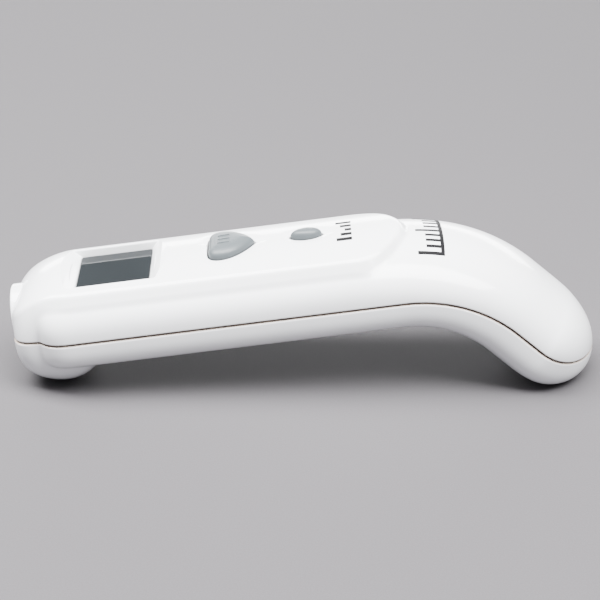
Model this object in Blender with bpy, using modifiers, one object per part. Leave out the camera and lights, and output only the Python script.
"""Handheld infrared thermometer with a bent handle.

The body is two moulded shells that meet on a seam. The barrel holds the front sensor, the
display, two push buttons, the circuit board and two AAA cells, and a hollow handle bends down
from it. It lies on the bulge under its nose and on the tip of its handle.

Lengths are in millimetres, and MM turns them into metres. The design frame has x along the
barrel from just in front of the nose, y across, and z up from the seam. Every piece is a child of the
rest_frame empty, which tilts and lifts the design frame until the thermometer lies on z = 0.
"""

import math

import bmesh
import bpy
import numpy as np
from mathutils import Matrix, Vector

MM = 0.001
NAME = "infrared_thermometer"

# How it lies: the barrel rises towards the handle, and the table stops LIFT below the origin
TILT = math.radians(7.3)
LIFT = 14.35

# The seam line seen from the side: straight, bent down, then turned back up at the tip
BEND_START = 107.4
BEND_RADIUS = 39.5
BEND_ANGLE = math.radians(47.7)
TIP_CURVE_START = 148.4
TIP_CURVE = 0.04
TIP_END = 167.2

# Pillow-shaped body round the seam line
HALF_WIDTH = 21.0
BODY_HEIGHT = 12.3
BODY_DEPTH = 10.1
HANDLE_EXTRA_DEPTH = 1.1
BARREL_POWER = 2.7
HANDLE_POWER = 2.15
UNDERSIDE_POWER = 3.5
BODY_FRONT_FULL = 19.0
BODY_FRONT_ROUND = 12.6

# Roundings of the handle's tip: length along the seam line, and fullness of the curve
TIP_SIDE_ROUND = (16.8, 1.87)
TIP_TOP_ROUND = (19.9, 2.44)
TIP_UNDER_ROUND = (14.2, 1.75)

# Central band: the nose, the bulge under it, and the raised console along the top
NOSE_X = 1.8
NOSE_HALF_WIDTH = 16.6
NOSE_FACE_HALF_WIDTH = 11.0
NOSE_FACE_TOP = 5.0
NOSE_SIDE_ROUND = (6.0, 2.2)
NOSE_TOP_ROUND = (16.6, 1.88)
CONSOLE_HALF_WIDTH = 18.1
CONSOLE_TOP_HALF_WIDTH = 15.8
CONSOLE_HEIGHT = 14.7
CONSOLE_CROWN = 2.4
CONSOLE_BEVEL_DROP = 6.1
CONSOLE_BEVEL_SLOPE = 1.6
CONSOLE_ARC_START = 95.0
CONSOLE_ARC_LENGTH = 17.4
BAND_END = 112.7
BULGE_X = 13.3
BULGE_Z = -3.8
BULGE_RADIUS = 12.5
BULGE_POWER = 2.8
RIDGE_ROUND = 0.8
CREASE_ROUND = 0.9

WALL = 1.9
NOSE_WALL = 2.4
TIP_WALL = 2.8
SEAM_GAP = 0.3
GAP = 0.3
FAR = 60.0

# Sensor in the nose: its rim stands a little out of the nose
SENSOR_RIM_X = 1.4
SENSOR_Z = 1.6
SHROUD_RADIUS = 8.6

# Display
DISPLAY_X = (20.3, 40.2)
DISPLAY_HALF_WIDTH = 12.4
DISPLAY_Z = 10.9
RAMP_LENGTH = 4.6
PANE_THICK = 2.0
PANE_LEDGE = 0.8
PANE_STEP = (1.6, 0.3)
LCD_HALF_WIDTH = 11.0
LCD_Z = (7.0, 8.6)
LCD_FRAME_HALF_WIDTH = 12.3

# Buttons: ends along the barrel, half width, height of the dome above the console, and how
# pointed the outline is in front and behind (below 1 is blunt)
SCAN_BUTTON = {
    "x": (56.8, 69.4), "widest": 60.0, "half_width": 7.6, "dome": 1.9, "points": (0.3, 1.7),
}
MODE_BUTTON = {
    "x": (79.2, 87.9), "widest": 83.5, "half_width": 2.35, "dome": 1.7, "points": (1.25, 1.25),
}
BUTTON_FLANGE_Z = (10.9, 11.7)
STEM_BOTTOM = 9.7

# Circuit board and the parts on it
BOARD_X = (21.0, 97.0)
BOARD_HALF_WIDTH = 12.2
BOARD_Z = (3.2, 4.8)
ON_BOARD = BOARD_Z[1] + GAP
SWITCH_SIDE = 6.0
SWITCH_TOP = 8.2
PLUNGER_RADIUS = 1.7
PLUNGER_TOP = 9.4

# Two AAA cells side by side under the board
CELL_RADIUS = 5.25
CELL_LENGTH = 44.5
CELL_Y = 5.7
CELL_Z = -3.0
CELL_X = 51.3
BAY_WALLS_X = (46.6, 100.0)
BAY_WALL_THICK = 1.2

# Sliding door in the underside, and the thumb recess in front of it
DOOR_X = (49.3, 98.3)
DOOR_HALF_WIDTH = 11.3
DOOR_INNER_Z = -8.6
DOOR_TRAVEL = 8.0
HOOKS_X = (58.0, 84.0)
HOOK_LENGTH = 5.0
HOOK_Y = (10.1, 10.6, 11.3)
LEDGE_Y = 10.9
LEDGE_Z = (-8.3, -7.3)
RECESS_FRONT = DOOR_X[0] - GAP - DOOR_TRAVEL - 0.4

# Screws that hold the two shells together: distance along the seam line, and y
CASE_SCREWS = [(30.0, -15.4), (30.0, 15.4), (103.0, -15.4), (103.0, 15.4), (143.0, 0.0)]
BOARD_SCREWS = [(45.0, 0.0), (95.0, -9.5)]
SCREW_HEAD = (2.1, 1.5)
SCREW_SHANK = (1.0, 12.8)
HEAD_SEAT = -5.5
SHANK_TOP = 7.6

parts = None
cutters = None
rest_frame = None


# ---------------------------------------------------------------- scene helpers


def clear_scene():
    for item in list(bpy.data.objects):
        bpy.data.objects.remove(item, do_unlink=True)


def new_collection(name):
    collection = bpy.data.collections.new(name)
    bpy.context.scene.collection.children.link(collection)
    return collection


def material(name, colour, roughness, metallic=0.0):
    made = bpy.data.materials.new(name)
    made.use_nodes = True
    shader = made.node_tree.nodes["Principled BSDF"]
    shader.inputs["Base Color"].default_value = (*colour, 1.0)
    shader.inputs["Roughness"].default_value = roughness
    shader.inputs["Metallic"].default_value = metallic
    made.diffuse_color = (*colour, 1.0)
    return made


def add_object(name, data, finish=None, at=(0, 0, 0), turn=(0, 0, 0)):
    """Link data under the rest frame: a part when it has a finish, else a cutter."""
    made = bpy.data.objects.new(name, data)
    made.parent = rest_frame
    made.location = Vector(at) * MM
    made.rotation_euler = turn
    if finish:
        parts.objects.link(made)
        data.materials.append(finish)
    else:
        cutters.objects.link(made)
        made.hide_render = True
        made.display_type = "WIRE"
    return made


def finish_mesh(bm, name, smooth=None):
    """Turn bm, in millimetres, into a mesh in metres that is smooth below the given angle."""
    bmesh.ops.scale(bm, vec=(MM, MM, MM), verts=bm.verts)
    bmesh.ops.recalc_face_normals(bm, faces=bm.faces)
    mesh = bpy.data.meshes.new(name)
    bm.to_mesh(mesh)
    bm.free()
    if smooth:
        mesh.shade_smooth()
        mesh.set_sharp_from_angle(angle=math.radians(smooth))
    return mesh


def boolean(target, other, operation="DIFFERENCE", solver="EXACT"):
    """The lofted shells take MANIFOLD, because EXACT leaves open edges along their cuts."""
    modifier = target.modifiers.new(f"{operation.lower()}_{other.name}", "BOOLEAN")
    modifier.operation = operation
    modifier.object = other
    modifier.solver = solver


def bevel(target, width, segments=2):
    modifier = target.modifiers.new("rounded_edges", "BEVEL")
    modifier.width = width * MM
    modifier.segments = segments
    modifier.limit_method = "ANGLE"


# ---------------------------------------------------------------- shape helpers


def box_into(bm, low, high):
    size = Vector(high) - Vector(low)
    middle = (Vector(high) + Vector(low)) / 2
    place = Matrix.Translation(middle) @ Matrix.Diagonal((*size, 1.0))
    bmesh.ops.create_cube(bm, size=1.0, matrix=place)


def box_mesh(name, *corners):
    """One mesh of boxes, each given by its low and high corner."""
    bm = bmesh.new()
    for low, high in corners:
        box_into(bm, low, high)
    return finish_mesh(bm, name)


def cylinder_into(bm, radius, start, end, segments=20):
    start = Vector(start)
    axis = Vector(end) - start
    turn = axis.to_track_quat("Z", "Y").to_matrix().to_4x4()
    half_step = Matrix.Rotation(math.pi / segments, 4, "Z")
    place = Matrix.Translation(start + axis / 2) @ turn @ half_step
    bmesh.ops.create_cone(
        bm, cap_ends=True, segments=segments, radius1=radius, radius2=radius,
        depth=axis.length, matrix=place,
    )


def cylinder_mesh(name, *rods, segments=20):
    """One mesh of cylinders, each given as (radius, start, end)."""
    bm = bmesh.new()
    for radius, start, end in rods:
        cylinder_into(bm, radius, start, end, segments)
    return finish_mesh(bm, name, smooth=40)


def prism_mesh(name, outline, low, high, across="z"):
    """A flat outline extruded from low to high, along z or, for an x-z outline, along y."""
    bm = bmesh.new()
    if across == "z":
        corners = [bm.verts.new((a, b, low)) for a, b in outline]
        step = Vector((0, 0, high - low))
    else:
        corners = [bm.verts.new((a, low, b)) for a, b in outline]
        step = Vector((0, high - low, 0))
    face = bm.faces.new(corners)
    raised = bmesh.ops.extrude_face_region(bm, geom=[face])["geom"]
    moved = [item for item in raised if isinstance(item, bmesh.types.BMVert)]
    bmesh.ops.translate(bm, vec=step, verts=moved)
    return finish_mesh(bm, name)


def loft_mesh(name, rings, smooth=35):
    """A closed skin over rings of equally many points, with a flat cap at each end."""
    bm = bmesh.new()
    loops = [[bm.verts.new(point) for point in ring] for ring in rings]
    count = len(loops[0])
    for first, second in zip(loops, loops[1:]):
        for i in range(count):
            j = (i + 1) % count
            bm.faces.new((first[i], first[j], second[j], second[i]))
    bm.faces.new(loops[0])
    bm.faces.new(loops[-1])
    bmesh.ops.triangulate(bm, faces=bm.faces)
    return finish_mesh(bm, name, smooth)


def turned(name, profile, finish, at, turn=(0, 0, 0), steps=24):
    """A profile of (radius, height) points turned about z, given top to bottom outside."""
    bm = bmesh.new()
    points = [bm.verts.new((radius, 0, height)) for radius, height in profile]
    for a, b in zip(points, points[1:]):
        bm.edges.new((a, b))
    bmesh.ops.scale(bm, vec=(MM, MM, MM), verts=bm.verts)
    mesh = bpy.data.meshes.new(name)
    bm.to_mesh(mesh)
    bm.free()
    made = add_object(name, mesh, finish, at, turn)
    screw = made.modifiers.new("turned", "SCREW")
    screw.axis = "Z"
    screw.angle = 2 * math.pi
    screw.steps = steps
    screw.render_steps = steps
    screw.use_merge_vertices = True
    screw.merge_threshold = 0.00001
    screw.use_smooth_shade = True
    return made


def wire(name, points, radius, finish, sides=1):
    """A round wire along points, with filled ends."""
    curve = bpy.data.curves.new(name, "CURVE")
    curve.dimensions = "3D"
    curve.bevel_depth = radius * MM
    curve.bevel_resolution = sides
    curve.use_fill_caps = True
    spline = curve.splines.new("POLY")
    spline.points.add(len(points) - 1)
    for point, place in zip(spline.points, points):
        point.co = (*(Vector(place) * MM), 1.0)
    return add_object(name, curve, finish)


# ---------------------------------------------------------------- outer form


def ease(t):
    t = np.clip(t, 0.0, 1.0)
    return t * t * (3 - 2 * t)


def rounding(t, power):
    """Falls from 1 at t = 0 to 0 at t = 1, like the quarter of a superellipse."""
    return np.clip(1 - np.clip(t, 0, 1) ** power, 0, 1) ** (1 / power)


def seam_line(s):
    """Place x, z and downward slope of the seam line at length s along it."""
    fine = np.linspace(0.0, 180.0, 3601)
    slope = np.clip((fine - BEND_START) / BEND_RADIUS, 0, BEND_ANGLE)
    slope = slope - TIP_CURVE * np.clip(fine - TIP_CURVE_START, 0, None)
    middle = (slope[1:] + slope[:-1]) / 2
    step = fine[1] - fine[0]
    x = np.concatenate([[0.0], np.cumsum(np.cos(middle)) * step])
    z = np.concatenate([[0.0], -np.cumsum(np.sin(middle)) * step])
    return np.interp(s, fine, x), np.interp(s, fine, z), np.interp(s, fine, slope)


def smooth_max(a, b, blend):
    overlap = np.clip(blend - np.abs(a - b), 0, None) / blend
    return np.maximum(a, b) + blend / 4 * overlap**2


def superellipse(y, n, half_width, height, power):
    """About the distance from the outline, negative inside."""
    ratio = ((np.abs(y) / half_width) ** power + (np.abs(n) / height) ** power) ** (1 / power)
    return (ratio - 1) * np.minimum(half_width, height)


def body_field(s, y, n):
    front = rounding((BODY_FRONT_FULL - s) / BODY_FRONT_ROUND, 2.8)
    to_tip = TIP_END - s
    side, top, under = (rounding(1 - to_tip / length, power)
                        for length, power in (TIP_SIDE_ROUND, TIP_TOP_ROUND, TIP_UNDER_ROUND))
    half_width = HALF_WIDTH * front * side
    height = BODY_HEIGHT * (0.5 + 0.5 * front) * top
    depth = BODY_DEPTH + HANDLE_EXTRA_DEPTH * ease((s - 100) / 45)
    depth = depth * (0.8 + 0.2 * front) * under
    top_power = BARREL_POWER + (HANDLE_POWER - BARREL_POWER) * ease((s - 92) / 26)
    above = n >= 0
    power = np.where(above, top_power, UNDERSIDE_POWER)
    tall = np.where(above, height, depth)
    tiny = 1e-3
    return superellipse(y, n, np.maximum(half_width, tiny), np.maximum(tall, tiny), power)


def console_edge_distance(s, y, half_width):
    """Distance inwards from the console's outline, which ends in half an ellipse."""
    along = np.clip(s - CONSOLE_ARC_START, 0, None) / CONSOLE_ARC_LENGTH
    across = np.abs(y) / half_width
    ratio = np.maximum(np.hypot(along, across), 1e-6)
    steepness = np.hypot(along / CONSOLE_ARC_LENGTH, across / half_width) / ratio
    return (1 - ratio) / np.maximum(steepness, 1e-6)


def band_field(s, y, n):
    nose = rounding(1 - (s - NOSE_X) / NOSE_SIDE_ROUND[0], NOSE_SIDE_ROUND[1])
    half_width = NOSE_FACE_HALF_WIDTH + (NOSE_HALF_WIDTH - NOSE_FACE_HALF_WIDTH) * nose
    half_width = half_width + (CONSOLE_HALF_WIDTH - NOSE_HALF_WIDTH) * ease((s - 6) / 14)
    rise = rounding(1 - (s - NOSE_X) / NOSE_TOP_ROUND[0], NOSE_TOP_ROUND[1])
    top = NOSE_FACE_TOP + (CONSOLE_HEIGHT - NOSE_FACE_TOP) * rise
    crown = CONSOLE_CROWN * (y / CONSOLE_TOP_HALF_WIDTH) ** 2
    bevel_start = top - CONSOLE_BEVEL_DROP
    bevel_rise = CONSOLE_BEVEL_SLOPE * console_edge_distance(s, y, half_width)
    bevel_side = (n - bevel_start - bevel_rise) / math.hypot(1, CONSOLE_BEVEL_SLOPE)
    upper = smooth_max(n - top + crown, bevel_side, RIDGE_ROUND)
    upper = smooth_max(upper, np.abs(y) - half_width, RIDGE_ROUND)
    round_down = np.sqrt(np.clip(BULGE_RADIUS**2 - (s - BULGE_X) ** 2, 0, None))
    lower = superellipse(y, n, half_width, round_down - BULGE_Z, BULGE_POWER)
    outside = 10.0
    return np.where(s < BAND_END, np.where(n >= 0, upper, lower), outside)


def outer_field(s, y, n):
    """Negative inside the thermometer's outer form, and about the distance from it."""
    return -smooth_max(-body_field(s, y, n), -band_field(s, y, n), CREASE_ROUND)


def form_ring(s, sample, inset, count):
    """One section across the seam line at s, shaped by the form's outline at sample."""
    angle = np.linspace(0, 2 * math.pi, count, endpoint=False)
    low = np.zeros(count)
    high = np.full(count, 30.0)
    for _ in range(36):
        middle = (low + high) / 2
        inside = outer_field(sample, middle * np.cos(angle), middle * np.sin(angle)) < -inset
        low = np.where(inside, middle, low)
        high = np.where(inside, high, middle)
    x, z, slope = seam_line(s)
    up = low * np.sin(angle)
    return np.stack(
        [x + up * math.sin(slope), low * np.cos(angle), z + up * math.cos(slope)], axis=1
    )


def outer_rings():
    """Sections that are closest together where the nose and the tip turn fastest."""
    nose = NOSE_X + NOSE_TOP_ROUND[0] * (1 - np.cos(np.linspace(0, math.pi / 2, 11)))
    barrel = [21, 23.5, 27, 50, 75, 94, 99, 103, 107]
    handle = np.linspace(110, 148, 9)
    tip = 148 + (TIP_END - 148.02) * np.sin(np.linspace(0, math.pi / 2, 9))[1:]
    stations = np.concatenate([nose, barrel, handle, tip])
    return [form_ring(float(s), float(s), 0.0, 36) for s in stations]


def inner_rings():
    """The hollow inside: each section is sampled nearer to the end, to leave an end wall."""
    front = NOSE_X + NOSE_WALL
    back = TIP_END - TIP_WALL
    nose = front + 14 * (1 - np.cos(np.linspace(0, math.pi / 2, 7)))
    handle = np.concatenate([np.linspace(113, 150, 6), np.linspace(154, back, 4)])
    rings = []
    for s in np.concatenate([nose, [24, 60, 94, 101, 107], handle]):
        to_nose = (NOSE_WALL - 0.1) * (1 - ease((s - front) / 14))
        to_tip = (TIP_WALL - 0.3) * ease((s - 148) / (back - 148))
        rings.append(form_ring(float(s), float(s - to_nose + to_tip), WALL, 22))
    return rings


def seam_block(name, side):
    """Everything above (side 1) or below (side -1) the seam line, less half the seam's gap."""
    s = np.concatenate([[0.0, 60.0], np.linspace(BEND_START, TIP_END, 24)])
    x, z, slope = seam_line(s)
    edge = -side * SEAM_GAP / 2
    line = [(a + edge * math.sin(t), b + edge * math.cos(t)) for a, b, t in zip(x, z, slope)]
    last_x, last_z = line[-1]
    ends = [(last_x + FAR, last_z), (last_x + FAR, side * FAR), (-FAR, side * FAR)]
    outline = [(-FAR, edge)] + line + ends
    return add_object(name, prism_mesh(name, outline, -FAR, FAR, across="y"))


# ---------------------------------------------------------------- shells


def along_seam(s, y, n):
    """The place n above the seam line, at length s along it."""
    x, z, slope = (float(value) for value in seam_line(s))
    return Vector((x + n * math.sin(slope), y, z + n * math.cos(slope)))


def at_screws(name, radius, near, far):
    """One cutter with a rod on each case screw's line, from near to far above the seam."""
    rods = [(radius, along_seam(s, y, near), along_seam(s, y, far)) for s, y in CASE_SCREWS]
    return add_object(name, cylinder_mesh(name, *rods))


def screw_bores():
    shanks = at_screws("screw_shank_bores", SCREW_SHANK[0] + GAP, -7.0, SHANK_TOP)
    heads = at_screws("screw_head_bores", SCREW_HEAD[0] + GAP, -16.0, HEAD_SEAT)
    return shanks, heads


def display_recess():
    """Flat floor between two scooped ramps, which rise to the console's top."""
    front, back = DISPLAY_X
    depth = CONSOLE_HEIGHT - DISPLAY_Z
    angles = [math.radians(a) for a in (0, 20, 40, 60, 80)]
    rise = [(RAMP_LENGTH * math.sin(a) / math.sin(angles[-1]),
             depth * (1 - math.cos(a)) / (1 - math.cos(angles[-1]))) for a in angles]
    back_ramp = [(back + 0.3 + a, DISPLAY_Z + b) for a, b in rise]
    front_ramp = [(front - 0.3 - a, DISPLAY_Z + b) for a, b in reversed(rise)]
    above, reach = CONSOLE_HEIGHT + 4, RAMP_LENGTH + 1.2
    outline = front_ramp + back_ramp + [(back + reach, above), (front - reach, above)]
    half_width = DISPLAY_HALF_WIDTH + GAP
    mesh = prism_mesh("display_recess", outline, -half_width, half_width, across="y")
    return add_object("display_recess", mesh)


def button_outline(spec, outset=0.0, count=26):
    """A closed outline through both ends and the widest place."""
    front, back = spec["x"]
    widest = spec["widest"]
    point_in_front, point_behind = spec["points"]
    half_width = spec["half_width"] + outset
    points = []
    for i in range(count):
        turn = 2 * math.pi * i / count
        along, across = math.cos(turn), math.sin(turn)
        if along > 0:
            x = widest + (back + outset - widest) * along
            power = point_behind
        else:
            x = widest + (widest - front + outset) * along
            power = point_in_front
        points.append((x, half_width * math.copysign(abs(across) ** power, across)))
    return points


def button_opening(name, spec):
    return add_object(name, prism_mesh(name, button_outline(spec, GAP), 9.0, 20.0))


def upper_case(outer, inner, bores, sensor_hole, white):
    """The top shell: console, display surround, button openings and screw posts."""
    hollow = add_object("upper_hollow", inner)
    boolean(hollow, at_screws("upper_posts", 2.4, GAP, 20.0))
    front, back = DISPLAY_X
    edge, surround_width = 5.6, 15.0
    surround = ((front - edge, -surround_width, LCD_Z[1] + 0.1),
                (back + edge, surround_width, 12.4))
    boolean(hollow, add_object("display_surround", box_mesh("display_surround", surround)))

    shell = add_object("upper_case", outer, white)
    boolean(shell, hollow, solver="MANIFOLD")
    boolean(shell, seam_block("below_seam", -1), solver="MANIFOLD")
    boolean(shell, sensor_hole, solver="MANIFOLD")
    for bore in bores:
        boolean(shell, bore, solver="MANIFOLD")
    boolean(shell, display_recess(), solver="MANIFOLD")
    width = DISPLAY_HALF_WIDTH + GAP
    under = LCD_Z[1] - GAP
    pane = ((front - GAP, -width, under), (back + GAP, width, DISPLAY_Z + 1))
    along, across = PANE_STEP
    step = DISPLAY_Z - PANE_THICK + PANE_LEDGE + GAP
    ledge = ((front - along - GAP, -width - across, under),
             (back + along + GAP, width + across, step))
    for name, corners in (("display_pane_hole", pane), ("display_ledge", ledge)):
        boolean(shell, add_object(name, box_mesh(name, corners)), solver="MANIFOLD")
    boolean(shell, button_opening("scan_opening", SCAN_BUTTON), solver="MANIFOLD")
    boolean(shell, button_opening("mode_opening", MODE_BUTTON), solver="MANIFOLD")
    return shell


def door_ledges(name, outer_y, low):
    """Four ledges over the door's edges, one for each hook, out to outer_y and down to low."""
    ledges = []
    for side in (-1, 1):
        near, far = sorted((side * LEDGE_Y, side * outer_y))
        for x in HOOKS_X:
            ledges.append(((x - 0.5, near, low), (x + HOOK_LENGTH + 0.5, far, LEDGE_Z[1])))
    return add_object(name, box_mesh(name, *ledges))


def lower_case(outer, inner, bores, sensor_hole, white):
    """The bottom shell: screw posts, battery bay, door opening and the two flat lands."""
    hollow = add_object("lower_hollow", inner)
    boolean(hollow, at_screws("lower_posts", 3.2, -16.0, -GAP))
    below = -14.0
    walls = [((x, -12.2, below), (x + BAY_WALL_THICK, 12.2, 4.0)) for x in BAY_WALLS_X]
    boolean(hollow, add_object("bay_walls", box_mesh("bay_walls", *walls)))
    ledge_roots = door_ledges("ledge_roots", 13.0, below)
    boolean(hollow, ledge_roots)
    width = DOOR_HALF_WIDTH + 2
    roof = ((RECESS_FRONT - 1.4, -width, below), (DOOR_X[0] - GAP, width, -6.8))
    boolean(hollow, add_object("recess_roof", box_mesh("recess_roof", roof)))

    shell = add_object("lower_case", outer, white)
    boolean(shell, hollow, solver="MANIFOLD")
    boolean(shell, seam_block("above_seam", 1), solver="MANIFOLD")
    boolean(shell, sensor_hole, solver="MANIFOLD")
    for bore in bores:
        boolean(shell, bore, solver="MANIFOLD")
    width = DOOR_HALF_WIDTH + GAP
    opening = ((DOOR_X[0] - GAP, -width, below), (DOOR_X[1] + GAP, width, -6.0))
    opening = add_object("door_opening", box_mesh("door_opening", opening))
    boolean(opening, door_ledges("ledge_tips", width + 1, LEDGE_Z[0]))
    boolean(shell, opening, solver="MANIFOLD")
    recess = ((RECESS_FRONT, -width, below), (DOOR_X[0], width, DOOR_INNER_Z + GAP))
    recess = add_object("thumb_recess", box_mesh("thumb_recess", recess))
    boolean(shell, recess, solver="MANIFOLD")
    under = ((-2 * FAR, -FAR, -FAR), (2 * FAR, FAR, 0))
    table = add_object("table_plane", box_mesh("table_plane", under))
    table.parent = None
    boolean(shell, table, solver="MANIFOLD")
    return shell


def battery_door(outer, white):
    """The door is a slice of the underside, with two hooks a side that sit on the ledges."""
    front, back = DOOR_X
    panel = ((0, -DOOR_HALF_WIDTH, -5.4), (back - front, DOOR_HALF_WIDTH, 0))
    place = (front, 0, DOOR_INNER_Z)
    door = add_object("battery_door", box_mesh("battery_door", panel), white, at=place)
    boolean(door, add_object("underside_form", outer), "INTERSECT")
    hooks = []
    root, stem, tip = HOOK_Y
    catch_low = LEDGE_Z[1] + GAP
    catch_high = catch_low + 0.7
    for side in (-1, 1):
        for x in HOOKS_X:
            near, far = sorted((side * root, side * stem))
            end = x + HOOK_LENGTH
            hooks.append(((x, near, DOOR_INNER_Z - 0.4), (end, far, catch_high - 0.1)))
            near, far = sorted((side * root, side * tip))
            hooks.append(((x, near, catch_low), (end, far, catch_high)))
    for index, hook in enumerate(hooks):
        name = f"door_hook_{index + 1}"
        boolean(door, add_object(name, box_mesh(name, hook)), "UNION")
    return door


def shells(white):
    outer = loft_mesh("outer_form", outer_rings())
    inner = loft_mesh("hollow_form", inner_rings())
    hole_ends = (SHROUD_RADIUS + GAP, (-4, 0, SENSOR_Z), (9.6, 0, SENSOR_Z))
    sensor_hole = add_object("sensor_hole", cylinder_mesh("sensor_hole", hole_ends, segments=40))
    bores = screw_bores()
    upper_case(outer, inner, bores, sensor_hole, white)
    lower_case(outer.copy(), inner, bores, sensor_hole, white)
    battery_door(outer, white)


# ---------------------------------------------------------------- buttons and display


def shrink(outline, spec, share):
    """The outline drawn in towards its middle to a share of its size."""
    middle = sum(spec["x"]) / 2
    return [(middle + (x - middle) * share, y * share) for x, y in outline]


def button(name, spec, finish):
    """Stem, retaining flange, and a domed key cap that stands above the console."""
    flange_low, flange_high = BUTTON_FLANGE_Z
    outline = button_outline(spec)
    flange = button_outline(spec, 0.9)
    crown = CONSOLE_HEIGHT + spec["dome"]
    rim = CONSOLE_HEIGHT - 0.4
    levels = [(shrink(outline, spec, 0.3), STEM_BOTTOM), (shrink(outline, spec, 0.3), flange_low)]
    levels += [(flange, flange_low), (flange, flange_high), (outline, flange_high), (outline, rim)]
    for lift in (20, 40, 58, 74, 84):
        turn = math.radians(lift)
        height = rim + (crown - rim) * math.sin(turn) ** 0.9
        levels.append((shrink(outline, spec, math.cos(turn) ** 0.6), height))
    middle = sum(spec["x"]) / 2
    rings = [[(x - middle, y, z - flange_low) for x, y in ring] for ring, z in levels]
    return add_object(name, loft_mesh(name, rings), finish, at=(middle, 0, flange_low))


def tact_switch(name, spec, body_finish, plunger_finish):
    """A square switch body on the board, and the round plunger that its button presses."""
    x = sum(spec["x"]) / 2
    half = SWITCH_SIDE / 2
    case = box_mesh(f"{name}_body", ((-half, -half, 0), (half, half, SWITCH_TOP - ON_BOARD)))
    body = add_object(f"{name}_body", case, body_finish, at=(x, 0, ON_BOARD))
    well = (PLUNGER_RADIUS + GAP, (x, 0, SWITCH_TOP - 2.4), (x, 0, SWITCH_TOP + 1))
    boolean(body, add_object(f"{name}_well", cylinder_mesh(f"{name}_well", well)))
    bottom = SWITCH_TOP - 1.2
    rod = (PLUNGER_RADIUS, (0, 0, 0), (0, 0, PLUNGER_TOP - bottom))
    mesh = cylinder_mesh(f"{name}_plunger", rod)
    add_object(f"{name}_plunger", mesh, plunger_finish, at=(x, 0, bottom))


def display_stack(finishes):
    """Window, liquid crystal glass, its frame, two rubber connectors and a light plate."""
    front, back = DISPLAY_X
    width = DISPLAY_HALF_WIDTH
    middle = (front + back) / 2
    half = (back - front) / 2
    place = (middle, 0, 0)
    low = DISPLAY_Z - PANE_THICK
    step = low + PANE_LEDGE
    reach = (half + PANE_STEP[0], width + PANE_STEP[1])
    levels = [(*reach, low), (*reach, step), (half, width, step), (half, width, DISPLAY_Z)]
    rings = [[(-a, -b, z), (a, -b, z), (a, b, z), (-a, b, z)] for a, b, z in levels]
    add_object("display_window", loft_mesh("display_window", rings), finishes["window"], place)

    low, high = LCD_Z
    glass = ((-half + GAP, -LCD_HALF_WIDTH, low), (half - GAP, LCD_HALF_WIDTH, high))
    add_object("lcd_glass", box_mesh("lcd_glass", glass), finishes["lcd"], place)
    rim = ((-half - 1.8, -LCD_FRAME_HALF_WIDTH, ON_BOARD),
           (half + 1.8, LCD_FRAME_HALF_WIDTH, high - GAP))
    frame = add_object("lcd_frame", box_mesh("lcd_frame", rim), finishes["black"], place)
    inside = LCD_HALF_WIDTH + GAP
    opening = box_mesh("lcd_frame_opening", ((-half, -inside, 4.0), (half, inside, 12.0)))
    boolean(frame, add_object("lcd_frame_opening", opening, at=place))

    strip_width = LCD_HALF_WIDTH - 0.8
    strip = ((-1, -strip_width, ON_BOARD), (1, strip_width, low - GAP))
    for end, side in (("front", -1), ("rear", 1)):
        name = f"zebra_strip_{end}"
        x = middle + side * (half - 1.6)
        add_object(name, box_mesh(name, strip), finishes["rubber"], at=(x, 0, 0))
    plate = ((-6.6, -strip_width, ON_BOARD), (6.6, strip_width, low - 2 * GAP))
    add_object("backlight_plate", box_mesh("backlight_plate", plate), finishes["clear"], place)


# ---------------------------------------------------------------- electronics


def main_board(green):
    front, back = BOARD_X
    low, high = BOARD_Z
    outline = ((front, -BOARD_HALF_WIDTH, low), (back, BOARD_HALF_WIDTH, high))
    board = add_object("main_board", box_mesh("main_board", outline), green)
    holes = [(1.4, (x, y, low - 2), (x, y, high + 2)) for x, y in BOARD_SCREWS]
    boolean(board, add_object("board_holes", cylinder_mesh("board_holes", *holes)))


def board_parts(finishes):
    chip = box_mesh("controller_chip", ((-3.5, -3.5, 0), (3.5, 3.5, 1.2)))
    bevel(add_object("controller_chip", chip, finishes["black"], at=(52.0, 7.5, ON_BOARD)), 0.2, 1)
    crystal = [(0, 2.5), (0.9, 2.5), (1.05, 2.3), (1.05, -2.5), (0, -2.5)]
    lying = (0, math.pi / 2, 0)
    turned("clock_crystal", crystal, finishes["steel"], (52.0, -6.0, ON_BOARD + 1.05), lying, 16)
    can = [(0, 5.4), (2.3, 5.4), (2.5, 5.2), (2.5, 0.9), (2.35, 0.7), (2.5, 0.5), (2.5, 0), (0, 0)]
    turned("supply_capacitor", can, finishes["steel"], (75.0, 7.0, ON_BOARD))
    disc = [(0, 1.9), (1.0, 1.9), (1.0, 1.5), (1.6, 1.5), (1.6, 1.9), (4.3, 1.9), (4.5, 1.7),
            (4.5, 0), (0, 0)]
    turned("sounder", disc, finishes["black"], (90.5, 5.5, ON_BOARD))


def screw(name, finish, place, tilt, head, shank):
    """A pan-head screw with a cross recess: head and shank are (radius, length)."""
    head_radius, head_length = head
    shank_radius, shank_length = shank
    profile = [(0, shank_length), (shank_radius * 0.5, shank_length),
               (shank_radius, shank_length - 0.8), (shank_radius, 0), (head_radius, 0),
               (head_radius, -head_length * 0.6), (head_radius * 0.7, -head_length),
               (0, -head_length)]
    return turned(name, profile, finish, place, (0, tilt, 0), 14)


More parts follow.
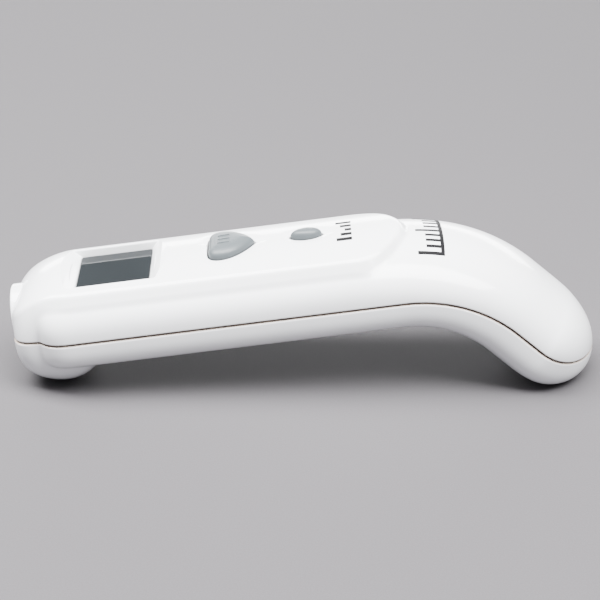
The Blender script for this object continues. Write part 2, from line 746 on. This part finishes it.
def screws(steel):
    slots = []
    for index, (s, y) in enumerate(CASE_SCREWS):
        slope = float(seam_line(s)[2])
        name = f"case_screw_{index + 1}"
        seat = HEAD_SEAT - GAP
        driven = screw(name, steel, along_seam(s, y, seat), slope, SCREW_HEAD, SCREW_SHANK)
        slots.append((driven, along_seam(s, y, seat - SCREW_HEAD[1]), slope))
    for index, (x, y) in enumerate(BOARD_SCREWS):
        place = (x, y, BOARD_Z[1] + GAP)
        name = f"board_screw_{index + 1}"
        driven = screw(name, steel, place, math.pi, (1.9, 1.2), (0.95, 3.6))
        slots.append((driven, Vector(place) + Vector((0, 0, 1.2)), math.pi))
    for driven, place, slope in slots:
        name = f"{driven.name}_recess"
        cross = box_mesh(name, ((-1.2, -0.22, -0.6), (1.2, 0.22, 0.6)))
        boolean(driven, add_object(name, cross, at=place, turn=(0, slope, 0)))


# ---------------------------------------------------------------- sensor


def sensor(finishes):
    """Shroud, holder, filter, sensor can and its board, from the rim backwards."""
    facing = (0, -math.pi / 2, 0)
    place = (0, 0, SENSOR_Z)
    rim, outside, flange = -SENSOR_RIM_X, SHROUD_RADIUS, 9.4
    shroud = [(6.9, rim), (outside - 0.5, rim), (outside, rim - 0.5), (outside, -11),
              (flange, -11), (flange, -12.4), (7.1, -12.4), (7.1, -9), (5, -9),
              (6.4, rim - 0.8), (6.9, rim)]
    turned("sensor_shroud", shroud, finishes["white"], place, facing, 36)
    holder = [(4.8, -9.3), (6.8, -9.3), (6.8, -16.0), (4.95, -16.0), (4.8, -9.3)]
    turned("sensor_holder", holder, finishes["brass"], place, facing)
    lens = [(0, -9.6), (4.2, -9.6), (4.4, -9.7), (4.4, -10.2), (0, -10.2)]
    turned("sensor_filter", lens, finishes["filter"], place, facing)
    can = [(0, -10.5), (3.9, -10.5), (4.1, -10.7), (4.1, -14.4), (4.6, -14.4), (4.6, -15.0),
           (0, -15.0)]
    made = turned("sensor_can", can, finishes["steel"], place, facing)
    pins = []
    for turn in range(4):
        angle = math.pi / 4 + turn * math.pi / 2
        y, z = 2.5 * math.cos(angle), SENSOR_Z + 2.5 * math.sin(angle)
        pins.append((0.25, (14.8, y, z), (17.5, y, z)))
    pin_rods = add_object("sensor_pins", cylinder_mesh("sensor_pins", *pins, segments=8))
    boolean(made, pin_rods, "UNION")
    board = box_mesh("sensor_board", ((16.3, -7.4, -5.4), (17.3, 7.4, 8.0)))
    plate = add_object("sensor_board", board, finishes["green"])
    pin_holes = [(0.6, (15.5, y, z), (19.0, y, z)) for _, (_, y, z), _ in pins]
    holes = cylinder_mesh("sensor_board_holes", *pin_holes, segments=8)
    boolean(plate, add_object("sensor_board_holes", holes))


def sensor_ribbon(finish):
    """A flat ribbon that bends from behind the sensor board to under the main board."""
    ends = np.array([(17.8, -5.0), (17.8, -1.0), (21.0, 2.0), (27.0, 2.65)])
    centre = []
    for t in np.linspace(0.0, 1.0, 9):
        weights = np.array([(1 - t) ** 3, 3 * t * (1 - t) ** 2, 3 * t**2 * (1 - t), t**3])
        centre.append(weights @ ends)
    line = [Vector((x, 0, z)) for x, z in centre]
    rings = []
    for i, point in enumerate(line):
        ahead = line[min(i + 1, len(line) - 1)] - line[max(i - 1, 0)]
        side = Vector((-ahead.z, 0, ahead.x)).normalized() * 0.15
        across = Vector((0, 3.5, 0))
        rings.append([point - side - across, point + side - across,
                      point + side + across, point - side + across])
    add_object("sensor_ribbon", loft_mesh("sensor_ribbon", rings, smooth=None), finish)


# ---------------------------------------------------------------- power


def cells(finish):
    """Two AAA cells that point opposite ways."""
    body = CELL_LENGTH - 0.8
    profile = [(0, CELL_LENGTH), (1.7, CELL_LENGTH), (1.9, CELL_LENGTH - 0.2), (1.9, body),
               (CELL_RADIUS - 0.4, body), (CELL_RADIUS, body - 0.4), (CELL_RADIUS, 0.3),
               (CELL_RADIUS - 0.3, 0), (0, 0)]
    end = CELL_X + CELL_LENGTH
    backwards = (0, -math.pi / 2, 0)
    turned("battery_1", profile, finish, (end, -CELL_Y, CELL_Z), backwards)
    turned("battery_2", profile, finish, (CELL_X, CELL_Y, CELL_Z), (0, math.pi / 2, 0))


def spring(name, x, y, length, finish):
    """A conical contact spring whose wide end is held by the contact plate at x."""
    turns, per_turn = 2.5, 11
    points = []
    count = round(turns * per_turn)
    for i in range(count + 1):
        share = i / count
        angle = 2 * math.pi * turns * share
        radius = 3.6 - 1.9 * share
        points.append((x + length * share, y + radius * math.cos(angle),
                       CELL_Z + radius * math.sin(angle)))
    wire(name, points, 0.25, finish)


def contacts(steel):
    """Contact plates at the bay's two end walls, with their studs and springs."""
    thick, off_plate = 0.4, 0.95
    front = BAY_WALLS_X[0] + BAY_WALL_THICK + GAP
    back = BAY_WALLS_X[1] - GAP
    cells_end = CELL_X + CELL_LENGTH
    low, high = CELL_Z - 3.4, CELL_Z + 4.4
    plates = {
        "positive_contact": ((front, -CELL_Y - 4, low), (front + thick, -CELL_Y + 4, high)),
        "negative_contact": ((front, CELL_Y - 4, low), (front + thick, CELL_Y + 4, high)),
        "bridge_contact": ((back - thick, -CELL_Y - 4.4, low), (back, CELL_Y + 4.4, high)),
    }
    studs = {
        "positive_contact": (-CELL_Y, front + thick / 2, CELL_X - GAP),
        "bridge_contact": (CELL_Y, cells_end + GAP, back - thick / 2),
    }
    for name, corners in plates.items():
        plate = add_object(name, box_mesh(name, corners), steel)
        if name in studs:
            y, start, end = studs[name]
            stud = cylinder_mesh(f"{name}_stud", (1.6, (start, y, CELL_Z), (end, y, CELL_Z)))
            boolean(plate, add_object(f"{name}_stud", stud), "UNION")
    reach = CELL_X - front - 1.6
    spring("negative_spring", front + off_plate, CELL_Y, reach, steel)
    spring("bridge_spring", back - off_plate, -CELL_Y, cells_end - back + 1.6, steel)


def battery_leads(finishes):
    """Two insulated leads that run from the front contacts forwards under the board."""
    start = BAY_WALLS_X[0] + BAY_WALL_THICK + GAP + 0.95
    for name, side in (("battery_lead_positive", -1), ("battery_lead_negative", 1)):
        inner, outer = side * 10.6, side * 11.2
        path = [(start, inner, 0.4), (start, inner, 1.6), (start - 1, outer, 2.3),
                (start - 4, outer, 2.35), (start - 7, inner, 2.3)]
        wire(name, path, 0.55, finishes[name])


# ---------------------------------------------------------------- assembly


def place_rest_frame():
    """Tilt and lift the design frame, and bring the middle of its length over the origin."""
    ends = np.concatenate(outer_rings())
    along = ends[:, 0] * math.cos(TILT) - ends[:, 2] * math.sin(TILT)
    rim_top = SENSOR_Z + SHROUD_RADIUS - 0.5
    rim = SENSOR_RIM_X * math.cos(TILT) - rim_top * math.sin(TILT)
    middle = (along.max() + min(along.min(), rim)) / 2
    rest_frame.rotation_euler = (0, -TILT, 0)
    rest_frame.location = Vector((-middle, 0, LIFT)) * MM


def main():
    global parts, cutters, rest_frame
    clear_scene()
    parts = new_collection(NAME)
    cutters = new_collection("cutters")
    rest_frame = bpy.data.objects.new("rest_frame", None)
    parts.objects.link(rest_frame)

    finishes = {
        "white": material("gloss_white", (0.86, 0.87, 0.88), 0.22),
        "grey": material("grey_button", (0.36, 0.39, 0.39), 0.42),
        "window": material("tinted_window", (0.06, 0.075, 0.08), 0.08),
        "lcd": material("lcd_glass", (0.16, 0.19, 0.17), 0.2),
        "black": material("black_plastic", (0.02, 0.02, 0.022), 0.5),
        "rubber": material("conductive_rubber", (0.05, 0.05, 0.055), 0.8),
        "clear": material("light_plate", (0.8, 0.82, 0.8), 0.3),
        "green": material("board_green", (0.02, 0.16, 0.07), 0.35),
        "steel": material("plated_steel", (0.66, 0.66, 0.64), 0.28, 1.0),
        "brass": material("brass", (0.78, 0.6, 0.3), 0.3, 1.0),
        "filter": material("infrared_filter", (0.05, 0.045, 0.06), 0.1, 0.6),
        "ribbon": material("orange_ribbon", (0.7, 0.3, 0.06), 0.4),
        "cell": material("cell_jacket", (0.12, 0.2, 0.3), 0.35, 0.4),
        "battery_lead_positive": material("red_lead", (0.55, 0.03, 0.02), 0.45),
        "battery_lead_negative": material("black_lead", (0.02, 0.02, 0.02), 0.45),
    }
    place_rest_frame()
    shells(finishes["white"])
    button("scan_button", SCAN_BUTTON, finishes["grey"])
    button("mode_button", MODE_BUTTON, finishes["grey"])
    tact_switch("scan_switch", SCAN_BUTTON, finishes["black"], finishes["clear"])
    tact_switch("mode_switch", MODE_BUTTON, finishes["black"], finishes["clear"])
    display_stack(finishes)
    main_board(finishes["green"])
    board_parts(finishes)
    sensor(finishes)
    sensor_ribbon(finishes["ribbon"])
    cells(finishes["cell"])
    contacts(finishes["steel"])
    battery_leads(finishes)
    screws(finishes["steel"])


main()
